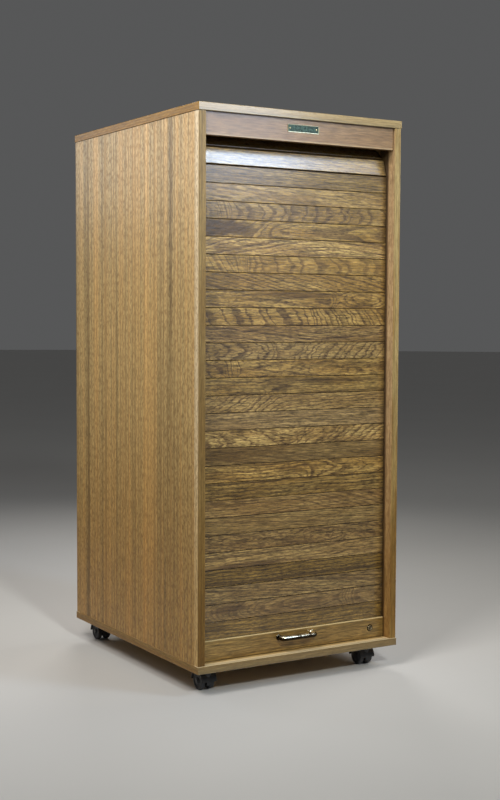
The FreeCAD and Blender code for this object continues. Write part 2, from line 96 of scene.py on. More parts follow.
class Wire:
    """A socket of a finish's node tree. Sums and products of wires add Math nodes."""

    def __init__(self, tree, socket):
        self.tree = tree
        self.socket = socket

    def add(self, kind, settings, inputs, output=0):
        node = self.tree.nodes.new(kind)
        for name, value in settings.items():
            setattr(node, name, value)
        for name, value in inputs.items():
            if isinstance(value, Wire):
                self.tree.links.new(value.socket, node.inputs[name])
            else:
                node.inputs[name].default_value = value
        return Wire(self.tree, node.outputs[output])

    def maths(self, operation, *values):
        return self.add("ShaderNodeMath", {"operation": operation}, dict(enumerate(values)))

    def __add__(self, other):
        return self.maths("ADD", self, other)

    def __sub__(self, other):
        return self.maths("SUBTRACT", self, other)

    def __rsub__(self, other):
        return self.maths("SUBTRACT", other, self)

    def __mul__(self, other):
        return self.maths("MULTIPLY", self, other)

    def __truediv__(self, other):
        return self.maths("DIVIDE", self, other)

    def __abs__(self):
        return self.maths("ABSOLUTE", self)

    def __lt__(self, other):
        return self.maths("LESS_THAN", self, other)

    __radd__ = __add__
    __rmul__ = __mul__

    def rise(self, low, high):
        ends = {"Value": self, "From Min": low, "From Max": high}
        return self.add("ShaderNodeMapRange", {"interpolation_type": "SMOOTHSTEP"}, ends)

    def mix(self, none, full):
        return self.add("ShaderNodeMix", {"data_type": "RGBA"}, {0: self, 6: none, 7: full}, 2)

    def shaded(self, shade):
        settings = {"data_type": "RGBA", "blend_type": "MULTIPLY"}
        return self.add("ShaderNodeMix", settings, {0: 1.0, 6: self, 7: shade}, 2)

    def axes(self):
        return [self.add("ShaderNodeSeparateXYZ", {}, {0: self}, i) for i in range(3)]

    def noise(self, stretch, offset, detail=2.0):
        scaled = {0: self, 1: [1.0 / s for s in stretch], 2: (offset, offset * 1.7, offset * 2.3)}
        where = self.add("ShaderNodeVectorMath", {"operation": "MULTIPLY_ADD"}, scaled)
        return self.add("ShaderNodeTexNoise", {}, {"Vector": where, "Scale": 1.0, "Detail": detail})

    def feed(self, shader, name):
        self.tree.links.new(self.socket, shader.inputs[name])


def tone(red, green, blue):
    def linear(part):
        part /= 255.0
        return part / 12.92 if part <= 0.04045 else ((part + 0.055) / 1.055) ** 2.4
    return linear(red), linear(green), linear(blue), 1.0


def new_finish(name):
    finish = bpy.data.materials.new(name)
    finish.use_nodes = True
    tree = finish.node_tree
    place = Wire(tree, tree.nodes.new("ShaderNodeTexCoord").outputs["Object"])
    return finish, tree.nodes["Principled BSDF"], place


def in_mm(place):
    return [axis / mm for axis in place.axes()]


def oak_cut(ring=3.0, across=0.0, through=0.7, slope=0.0, bend=0.0, peak=0.0, curve=0.0, axis=0.0, vee=0.0, wobble=1.0,
            drift=2.0, contrast=1.0, early=0.5, fleck=0.6, stripe=7.0, tiger=0.7, band=0.3, coarse=1.35, hair=2.8,
            stain=1.0, patches=(), then=None):
    """How a board was cut: its ring width, and how the rings run across, along and through its face. Then gives
    where along the board another run of the rings begins, where it is complete, and what it is."""
    cut = dict(ring=ring, across=across, through=through, slope=slope, bend=bend, peak=peak, curve=curve, axis=axis,
               vee=vee, wobble=wobble, drift=drift, contrast=contrast, early=early, fleck=fleck, stripe=stripe,
               tiger=tiger, band=band, coarse=coarse, hair=hair, stain=stain, patches=patches)
    cut["then"] = then and (then[0], then[1], oak_cut(**then[2]))
    return cut


def ring_run(u, v, w, cut):
    ring = u * cut["slope"] + v * cut["across"] + w * cut["through"]
    if cut["bend"]:
        ring = ring + (u - cut["peak"]) * (u - cut["peak"]) * cut["bend"]
    if cut["curve"]:
        ring = ring + (v - cut["axis"]) * (v - cut["axis"]) * cut["curve"]
    if cut["vee"]:
        ring = ring + abs(v - cut["axis"]) * cut["vee"]
    return ring / cut["ring"]


def oak(u, v, w, cut, tones, seed):
    """Colour, pore and fibre wires of oak: u runs along the grain, v across it and w into it, in millimetres, and so
    do the sizes of the noises."""
    late, dark, warm = tones
    wood = u.add("ShaderNodeCombineXYZ", {}, {0: u, 1: v, 2: w})
    sway = wood.noise((40.0, 9.0, 9.0), seed) - 0.5
    lean = wood.noise((260.0, 90.0, 60.0), seed + 31.0) - 0.5
    year = ring_run(u, v, w, cut)
    if cut["then"]:
        begins, whole, other = cut["then"]
        year = year + (ring_run(u, v, w, other) - year) * u.rise(begins, whole)
    year = year + sway * (0.9 * cut["wobble"]) + lean * (1.6 * cut["drift"]) + seed * 0.37
    seasons = year.add("ShaderNodeTexNoise", {"noise_dimensions": "1D"}, {"W": year, "Scale": 0.7, "Detail": 1.0})
    grown = year + seasons * 1.4
    season = grown.maths("FRACT", grown)
    early = season.rise(0.0, 0.06) * (1.0 - season.rise(0.2, cut["early"]))
    pore, fibre = 1.8 * cut["coarse"], 2.0 * cut["coarse"]
    pores = wood.noise((10.0, pore, pore), seed + 7.0, 1.0).rise(0.45, 0.62)
    fibres = wood.noise((32.0, fibre, fibre), seed + 13.0, 5.0)
    streaks = wood.noise((70.0 * cut["stripe"], cut["stripe"], cut["stripe"]), seed + 19.0, 4.0)
    clouds = wood.noise((170.0, 30.0, 30.0), seed + 23.0)
    line = (early * (0.7 + 0.3 * pores) + cut["fleck"] * pores * (1.0 - early)) * cut["contrast"]
    colour = (cut["band"] * streaks + (1.0 - cut["band"]) * clouds).rise(0.4, 0.6).mix(late, warm)
    for at, half, height, tall, depth in cut["patches"]:
        stray = (u - at) / half + 1.4 * (clouds - 0.5)
        rise = (v - height) / tall + 1.6 * sway
        colour = (depth * (1.0 - (stray * stray + rise * rise).rise(0.3, 1.2))).mix(colour, dark)
    colour = line.mix(colour, dark)
    uneven = 1.0 + cut["hair"] * (fibres - 0.5) + cut["tiger"] * (streaks - 0.5)
    return colour.shaded(uneven * cut["stain"]), line, fibres


def lacquer(shader, colour, line, fibres, rough=0.3, coat=0.3, gloss=0.5):
    height = 0.35 * fibres - line
    bump = {"Strength": 0.25, "Distance": 0.0004, "Height": height}
    colour.feed(shader, "Base Color")
    (rough + 0.14 * line).feed(shader, "Roughness")
    height.add("ShaderNodeBump", {}, bump).feed(shader, "Normal")
    shader.inputs["Specular IOR Level"].default_value = gloss
    shader.inputs["Coat Roughness"].default_value = 0.18
    if isinstance(coat, Wire):
        coat.feed(shader, "Coat Weight")
    else:
        shader.inputs["Coat Weight"].default_value = coat


def dress(finish, *names):
    for name in names:
        nodes[name].data.materials.clear()
        nodes[name].data.materials.append(finish)


honey = tone(196, 162, 102), tone(154, 116, 66), tone(180, 142, 84)
straight_grain = oak_cut(ring=12.0, across=1.0, through=0.1, wobble=0.2, drift=0.4, contrast=0.5, early=0.6, fleck=0.8,
                         stripe=24.0, tiger=1.2, band=0.9, coarse=1.5, hair=1.3)


def edged_board(name, seed, front_edge, side_edge, sill_highlight):
    finish, shader, place = new_finish("oak_" + name)
    low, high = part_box(name)
    x, y, z = in_mm(place)
    to_side = (high.x - low.x) / mm / 2 - abs(x)
    to_front = (high.y - low.y) / mm / 2 - abs(y)
    to_edge = to_side.maths("MINIMUM", to_side, to_front)
    edging = to_edge < edge_strip
    ends = edging * (to_side < to_front)
    u = x + (y - x) * ends
    v = y + (x - y) * ends + edge_shift * edging + z * edging
    colour, line, fibres = oak(u, v, z, straight_grain, honey, seed)
    joint = abs(to_edge - edge_strip) < joint_line
    colour = edging.mix(colour, colour.shaded(ends.mix(front_edge, side_edge)))
    colour = (joint_dark * joint).mix(colour, tone(80, 54, 28))
    on_top = high.z / mm - z < sill_skin
    # Painted highlight: the front of the top face is painted pale, where light from above catches the sill.
    colour = (sill_highlight * on_top * (1.0 - to_front.rise(sill_depth, sill_fade))).mix(colour, tone(246, 224, 178))
    lacquer(shader, colour, line, fibres, coat=edging * (1.0 - ends), gloss=0.2)
    dress(finish, name)


edged_board("bottom_panel", seed=3.0, front_edge=tone(178, 184, 184), side_edge=tone(188, 178, 146), sill_highlight=0.66)

# Casters: twin-wheel swivel casters. A zinc-plated plate is screwed under each corner of the bottom board, a black
# moulded hood turns on its stem, and two wheels with grey rubber tyres on plastic hubs run on the hood's axle.


def metal(name, light, dark, rough, wear):
    finish, shader, place = new_finish(name)
    cloud = place.noise((0.006, 0.006, 0.006), 6.0, 4.0).rise(0.35, 0.7)
    rubbed = place.noise((0.0006, 0.0006, 0.0006), 8.0, 3.0)
    cloud.mix(light, dark).feed(shader, "Base Color")
    (rough + wear * cloud + 0.5 * wear * rubbed).feed(shader, "Roughness")
    bump = {"Strength": 0.05, "Distance": 0.0001, "Height": rubbed}
    rubbed.add("ShaderNodeBump", {}, bump).feed(shader, "Normal")
    shader.inputs["Metallic"].default_value = 1.0
    return finish


def moulded(name, light, dark, rough):
    finish, shader, place = new_finish(name)
    cloud = place.noise((0.009, 0.009, 0.009), 3.0, 4.0)
    grain = place.noise((0.0005, 0.0005, 0.0005), 5.0, 2.0)
    cloud.rise(0.3, 0.7).mix(light, dark).feed(shader, "Base Color")
    (rough + 0.15 * cloud).feed(shader, "Roughness")
    bump = {"Strength": 0.15, "Distance": 0.0001, "Height": grain}
    grain.add("ShaderNodeBump", {}, bump).feed(shader, "Normal")
    return finish


def turned(rings, points=32):
    """A piece turned on the z axis. Rings are (height, radius) in millimetres, and the last may meet the first."""
    bpy.ops.object.select_all(action="DESELECT")
    height, radius = rings[0]
    closed = rings[0] == rings[-1]
    bpy.ops.mesh.primitive_circle_add(vertices=points, radius=radius * mm, fill_type="NOTHING" if closed else "NGON")
    bpy.ops.object.mode_set(mode="EDIT")
    bpy.ops.mesh.select_all(action="SELECT")
    bpy.ops.transform.translate(value=(0, 0, height * mm))
    for next_height, next_radius in rings[1:]:
        bpy.ops.mesh.extrude_region_move(TRANSFORM_OT_translate={"value": (0, 0, (next_height - height) * mm)})
        widen = next_radius / radius
        bpy.ops.transform.resize(value=(widen, widen, 1), center_override=(0, 0, next_height * mm))
        height, radius = next_height, next_radius
    bpy.ops.object.mode_set(mode="OBJECT")
    return bpy.context.object


def set_in(piece, place, turn=(0, 0, 0)):
    """Turns a piece about the origin, moves it to its place in millimetres and leaves its object at the origin."""
    bpy.ops.object.select_all(action="DESELECT")
    piece.select_set(True)
    bpy.context.view_layer.objects.active = piece
    piece.rotation_euler = [math.radians(a) for a in turn]
    piece.location = Vector(place) * mm
    bpy.ops.object.transform_apply(location=True, rotation=True, scale=True)
    return piece


def copy_of(piece):
    twin = piece.copy()
    twin.data = piece.data.copy()
    bpy.context.collection.objects.link(twin)
    return twin


def joined(pieces):
    bpy.ops.object.select_all(action="DESELECT")
    for piece in pieces:
        piece.select_set(True)
    bpy.context.view_layer.objects.active = pieces[0]
    if len(pieces) > 1:
        bpy.ops.object.join()
    return pieces[0]


def fit(pieces, name, node, slot, *finishes, soft=35):
    """Joins the forms of one piece, closes and smooths them, gives them finishes, and puts them for a CAD node."""
    piece = joined(pieces)
    bpy.ops.object.mode_set(mode="EDIT")
    bpy.ops.mesh.select_all(action="SELECT")
    bpy.ops.mesh.remove_doubles(threshold=0.000005)
    bpy.ops.mesh.normals_make_consistent(inside=False)
    bpy.ops.object.mode_set(mode="OBJECT")
    bpy.ops.object.shade_smooth_by_angle(angle=math.radians(soft))
    piece.name = name
    for finish in finishes:
        piece.data.materials.append(finish)
    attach(piece, nodes[node]["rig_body"])
    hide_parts(node)
    return piece


corners = {"fl": (-1, -1), "fr": (1, -1), "bl": (-1, 1), "br": (1, 1)}
caster_x, caster_y, trail, axle_z = 214.0, 266.5, 14.0, 20.0
tyre_depth, wheel_apart = 15.4, 11.5
zinc = metal("zinc_plated_steel", tone(190, 192, 194), tone(160, 160, 160), rough=0.28, wear=0.2)
black_plastic = moulded("black_plastic", tone(38, 38, 40), tone(26, 26, 28), rough=0.35)
tyre_rubber = moulded("wheel_rubber", tone(58, 58, 60), tone(44, 44, 46), rough=0.55)
hub_plastic = moulded("hub_plastic", tone(34, 34, 36), tone(24, 24, 26), rough=0.3)
wheel_rings = [
    (6.0, 3.2), (6.0, 6.0), (5.6, 6.6), (3.6, 7.2), (3.6, 13.4), (5.2, 14.6), (5.2, 15.2), (5.6, 15.6), (5.6, 17.6),
    (5.0, 18.8), (3.6, 19.6), (1.6, 20.0), (-1.6, 20.0), (-3.6, 19.6), (-5.0, 18.8), (-5.6, 17.6), (-5.6, 15.6),
    (-5.2, 15.2), (-5.2, 14.6), (-3.6, 13.4), (-3.6, 7.2), (-5.6, 6.6), (-6.0, 6.0), (-6.0, 3.2), (6.0, 3.2)]
wheel = turned(wheel_rings, points=48)
for face in wheel.data.polygons:
    face.material_index = 0 if math.hypot(face.center.x, face.center.y) > tyre_depth * mm else 1
set_in(wheel, (0, 0, 0), (0, 90, 0))
for corner, (across, along) in corners.items():
    axle = across * caster_x, along * caster_y + trail, axle_z
    pair = [set_in(copy_of(wheel), (axle[0] + side * wheel_apart, axle[1], axle[2])) for side in (-1, 1)]
    fit(pair, "wheels_" + corner, "caster_wheels_" + corner, "wheel_rubber", tyre_rubber, hub_plastic)
    dress(black_plastic, "caster_hood_" + corner)
bpy.data.objects.remove(wheel)
dress(zinc, "caster_plates")

# Sides: 17 mm boards veneered in straight-grained oak, with a pale solid strip along the front whose own front edge
# is a browner cut. The curtain's track is routed into their inner faces, and dowels hold them between the boards.
front_strip, front_skin, strip_shift = 19.0, 1.0, 400.0
inner_face, inner_strip = 248.5, 16.0
strip_line, strip_base, strip_hair, strip_joint = 0.8, 0.4, 1.2, 0.4
jamb_shade_from, jamb_shade_full, jamb_shade_back, jamb_shade_end, jamb_shade_dark = 20.0, 27.0, 50.0, 60.0, 0.85
strip_tones = {
    "left_side": (tone(228, 206, 164), tone(160, 126, 84)),
    "right_side": (tone(182, 153, 114), tone(140, 107, 72)),
}
edge_tones = {
    "left_side": (tone(141, 117, 72), tone(86, 64, 32), tone(125, 99, 56)),
    "right_side": (tone(168, 143, 93), tone(98, 73, 40), tone(141, 112, 64)),
}
side_tones = tone(210, 180, 122), tone(150, 114, 68), tone(192, 157, 100)
side_grain = oak_cut(ring=16.0, across=1.0, through=0.1, wobble=0.1, drift=0.2, contrast=0.7, early=0.45, fleck=0.9,
                     stripe=26.0, tiger=2.3, band=0.95, coarse=2.4, hair=1.0)
# Painted shade: the sides are painted darker and browner from this height down, where less light falls.
falloff_from, falloff_to, falloff_tint = 750.0, 100.0, tone(222, 203, 158)
edge_grain = oak_cut(ring=5.5, across=1.0, through=0.1, wobble=0.1, drift=0.3, contrast=0.5, early=0.6, fleck=0.4,
                     hair=1.2)
for name, seed in (("left_side", 11.0), ("right_side", 17.0)):
    finish, shader, place = new_finish("oak_" + name)
    low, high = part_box(name)
    x, y, z = in_mm(place)
    from_front = y - low.y / mm
    inside = abs(x) < inner_face
    strip = from_front < front_strip + inside * inner_strip
    skin = from_front < front_skin
    colour, line, fibres = oak(z, y + strip_shift * strip, x, side_grain, side_tones, seed)
    edge = oak(z, x, y, edge_grain, edge_tones[name], seed)[0]
    solid = (line * strip_line).mix(*strip_tones[name]).shaded(strip_base + strip_hair * fibres)
    colour = strip.mix(colour, skin.mix(solid, edge))
    joint = abs(from_front - front_strip) < joint_line
    colour = (strip_joint * joint).mix(colour, tone(84, 58, 32))
    # Painted shade: darker and browner towards the bottom.
    colour = colour.shaded((1.0 - z.rise(falloff_to, falloff_from)).mix(tone(255, 255, 255), falloff_tint))
    # Painted shadow: the inner faces are darkened in a band around the slats' ends, where the slats meet them.
    jamb_shade = inside * from_front.rise(jamb_shade_from, jamb_shade_full) * (1.0 - from_front.rise(jamb_shade_back, jamb_shade_end))
    colour = (jamb_shade_dark * jamb_shade).mix(colour, tone(44, 28, 14))
    lacquer(shader, colour, line, fibres, coat=0.0, gloss=0.3)
    dress(finish, name)

# Dowels: fluted beech pegs glued into the boards and the header. They are hidden once the case is together, and
# show only where the boards are taken apart.
finish, shader, place = new_finish("beech")
x, y, z = in_mm(place)
beech = tone(206, 170, 130), tone(174, 132, 94), tone(198, 160, 120)
peg_cut = oak_cut(ring=1.8, across=1.0, contrast=0.4)
lacquer(shader, *oak(z, x, y, peg_cut, beech, seed=29.0), rough=0.6, coat=0.0)
dress(finish, "dowels")

# False ceiling, false back and back panel: 6 mm oak-faced plywood. The first two slide into housings in the sides
# and keep stored things out of the curtain's way; the back panel is screwed into rebates in the sides.
veneer_grain = oak_cut(ring=7.0, across=0.8, slope=0.004, wobble=1.6, drift=5.0, contrast=0.7)
ply = tone(178, 142, 90), tone(122, 88, 48), tone(164, 128, 76)
for name, seed in (("inner_top", 41.0), ("inner_back", 43.0), ("back_panel", 47.0)):
    finish, shader, place = new_finish("ply_" + name)
    x, y, z = in_mm(place)
    grain = (x, y, z) if name == "inner_top" else (z, x, y)
    lacquer(shader, *oak(*grain, veneer_grain, ply, seed), rough=0.5, coat=0.05)
    dress(finish, name)

# Shelves: three veneered boards that lie on zinc-plated spoon pins, which plug into holes in the sides. The strike
# plate that takes the lock's bolt is let into the bottom board below them.
finish, shader, place = new_finish("oak_shelves")
x, y, z = in_mm(place)
shelf_band, shelf_shift = 20.0, 37.0
level = (z / shelf_band).maths("FLOOR", z / shelf_band)
lacquer(shader, *oak(x, y + level * shelf_shift, z, straight_grain, honey, seed=53.0))
dress(finish, "shelves")
dress(zinc, "shelf_pins", "strike_plate")

# Header: a straight-grained oak rail between the sides above the door, set back a little from their edges and
# held to the top board by dowels. The curtain goes up behind it.
finish, shader, place = new_finish("oak_header")
x, y, z = in_mm(place)
rosy = tone(136, 106, 70), tone(112, 83, 54), tone(128, 98, 63)
header_cut = oak_cut(ring=3.2, across=0.8, slope=0.004, wobble=0.6, contrast=0.45, tiger=0.3, hair=1.6)
colour, line, fibres = oak(x, z, y, header_cut, rosy, seed=37.0)
header_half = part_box("header_rail")[1].x / mm
header_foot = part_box("header_rail")[0].z / mm
arris_low, arris_high, arris_highlight = 1.5, 4.5, 0.4
end_shade_wide, end_shade_full, end_shade_dark = 2.0, 0.6, 0.9
# Painted highlight: a pale band along the bottom arris of the front.
arris = 1.0 - z.rise(header_foot + arris_low, header_foot + arris_high)
colour = (arris_highlight * arris).mix(colour, tone(190, 162, 122))
# Painted shade: the front is darkened at both ends, next to the sides.
end_shade = abs(x).rise(header_half - end_shade_wide, header_half - end_shade_full)
colour = (end_shade_dark * end_shade).mix(colour, tone(44, 30, 20))
lacquer(shader, colour, line, fibres)
dress(finish, "header_rail")

# Plate on the header: a small pressed brass plate with a worn raised rim round a darkened green field, which is
# left bare. Two domed brass pins hold it.
plate_x, plate_z, plate_middle = 82.0, 17.0, 1230.0
plate_front, plate_thick, plate_corner = -312.0, 1.0, 2.0
rim, rim_flat, field_depth, field_edge = 1.1, 0.35, 0.4, 0.4
rim_blur, rim_sharp = -0.1, 0.3
pin_x, pin_rings = 35.0, [(-1.0, 1.2), (0.0, 1.2), (0.0, 2.2), (0.25, 2.1), (0.5, 1.7), (0.7, 1.1), (0.8, 0.3)]


def block(wide, deep, tall):
    """A block of the given sizes in millimetres round the origin."""
    bpy.ops.object.select_all(action="DESELECT")
    bpy.ops.mesh.primitive_cube_add(size=1)
    bpy.context.object.scale = wide * mm, deep * mm, tall * mm
    bpy.ops.object.transform_apply(location=False, rotation=False, scale=True)
    return bpy.context.object


def pick(kind, test):
    """In edit mode, selects the faces or edges whose middle and direction pass a test."""
    bpy.ops.mesh.select_mode(type=kind)
    bpy.ops.mesh.select_all(action="DESELECT")
    shape = bmesh.from_edit_mesh(bpy.context.object.data)
    if kind == "FACE":
        for face in shape.faces:
            face.select_set(test(face.calc_center_median(), face.normal))
    else:
        for edge in shape.edges:
            ends = [v.co for v in edge.verts]
            edge.select_set(test((ends[0] + ends[1]) / 2, (ends[1] - ends[0]).normalized()))
    bmesh.update_edit_mesh(bpy.context.object.data)


plate = set_in(block(plate_x, plate_thick, plate_z), (0, plate_front + plate_thick / 2, plate_middle))
bpy.ops.object.mode_set(mode="EDIT")
pick("EDGE", lambda middle, run: abs(run.y) > 0.9)
bpy.ops.mesh.bevel(offset=plate_corner * mm, segments=5)
pick("FACE", lambda middle, out: out.y < -0.9)
bpy.ops.mesh.inset(thickness=rim * mm * rim_flat, depth=0.0)
bpy.ops.mesh.inset(thickness=rim * mm * (1.0 - rim_flat), depth=-field_depth * mm)
bpy.ops.mesh.inset(thickness=field_edge * mm, depth=0.0)
bpy.ops.object.mode_set(mode="OBJECT")
finish, shader, place = new_finish("aged_brass")
x, y, z = in_mm(place)
inside_x = (plate_x / 2 - rim - abs(x)).rise(rim_blur, rim_sharp)
inside_z = (plate_z / 2 - rim - abs(z - plate_middle)).rise(rim_blur, rim_sharp)
field = inside_x * inside_z
worn = place.noise((0.004, 0.004, 0.004), 2.0, 4.0).rise(0.3, 0.7)
brushed = place.noise((0.012, 0.0006, 0.0006), 4.0, 3.0)
green = worn.mix(tone(20, 30, 22), tone(70, 88, 72))
brass = worn.mix(tone(206, 198, 168), tone(160, 146, 108))
field.mix(brass, green).feed(shader, "Base Color")
(0.3 + 0.2 * brushed).feed(shader, "Roughness")
shader.inputs["Metallic"].default_value = 0.6
brushed.add("ShaderNodeBump", {}, {"Strength": 0.1, "Distance": 0.0001, "Height": brushed}).feed(shader, "Normal")
fit([plate], "plate", "nameplate", "plate_brass", finish)
pin = turned(pin_rings, points=20)
pins = [set_in(copy_of(pin), (side * pin_x, plate_front + field_depth, plate_middle), (90, 0, 0)) for side in (-1, 1)]
bpy.data.objects.remove(pin)
pin_brass = metal("pin_brass", tone(214, 196, 146), tone(150, 130, 84), rough=0.22, wear=0.15)
fit(pins, "plate_pins", "nameplate_pins", "plate_brass", pin_brass)

# Top board: made and edged as the bottom board, it caps the sides and the header on dowels and overhangs them by
# a millimetre or two all round.
# The top's front edging gets a cool pale tint: a painted bluish sheen on that edge.
edged_board("top_panel", seed=5.0, front_edge=tone(206, 221, 246), side_edge=tone(202, 179, 48), sill_highlight=0.0)

# Wood screws: zinc-plated countersunk screws with a cross recess. Eight hold the back panel, four hold each caster
# plate and two hold the strike plate.
screw_rings = [(0.0, 3.8), (0.3, 3.8), (2.0, 2.0), (9.5, 1.9), (12.0, 0.3)]
recess_arm, recess_wide, recess_deep, recess_taper = 2.0, 0.8, 1.3, 0.45
back_rows, back_x, back_face = (129.0, 482.667, 836.333, 1190.0), 251.5, 317.0
caster_screw, caster_plate_low = 15.0, 49.5
lock_x, strike_y, strike_top, strike_screw = 208.5, -272.0, 69.0, 14.0


def carve(piece, tool):
    """Cuts a tool's form out of a piece and takes the tool away."""
    joined([piece])
    cut = piece.modifiers.new("cut", "BOOLEAN")
    cut.operation, cut.object, cut.solver = "DIFFERENCE", tool, "EXACT"
    bpy.ops.object.modifier_apply(modifier=cut.name)
    bpy.data.objects.remove(tool)


screw = turned(screw_rings, points=20)
cross = block(recess_wide, recess_wide, 2 * recess_deep)
bpy.ops.object.mode_set(mode="EDIT")
pick("FACE", lambda middle, out: abs(out.z) < 0.1)
bpy.ops.mesh.extrude_faces_move(TRANSFORM_OT_shrink_fatten={"value": (recess_arm - recess_wide / 2) * mm})
pick("FACE", lambda middle, out: out.z > 0.9)
bpy.ops.transform.resize(value=(recess_taper, recess_taper, 1.0), center_override=(0, 0, recess_deep * mm))
bpy.ops.object.mode_set(mode="OBJECT")
carve(screw, cross)
screws = []
for height in back_rows:
    screws += [set_in(copy_of(screw), (side * back_x, back_face, height), (90, 0, 0)) for side in (-1, 1)]
for across, along in corners.values():
    for dx, dy in corners.values():
        place = across * caster_x + dx * caster_screw, along * caster_y + dy * caster_screw, caster_plate_low
        screws.append(set_in(copy_of(screw), place))
for side in (-1, 1):
    screws.append(set_in(copy_of(screw), (lock_x + side * strike_screw, strike_y, strike_top), (180, 0, 0)))
bpy.data.objects.remove(screw)
fit(screws, "countersunk_screws", "wood_screws", "steel", zinc)

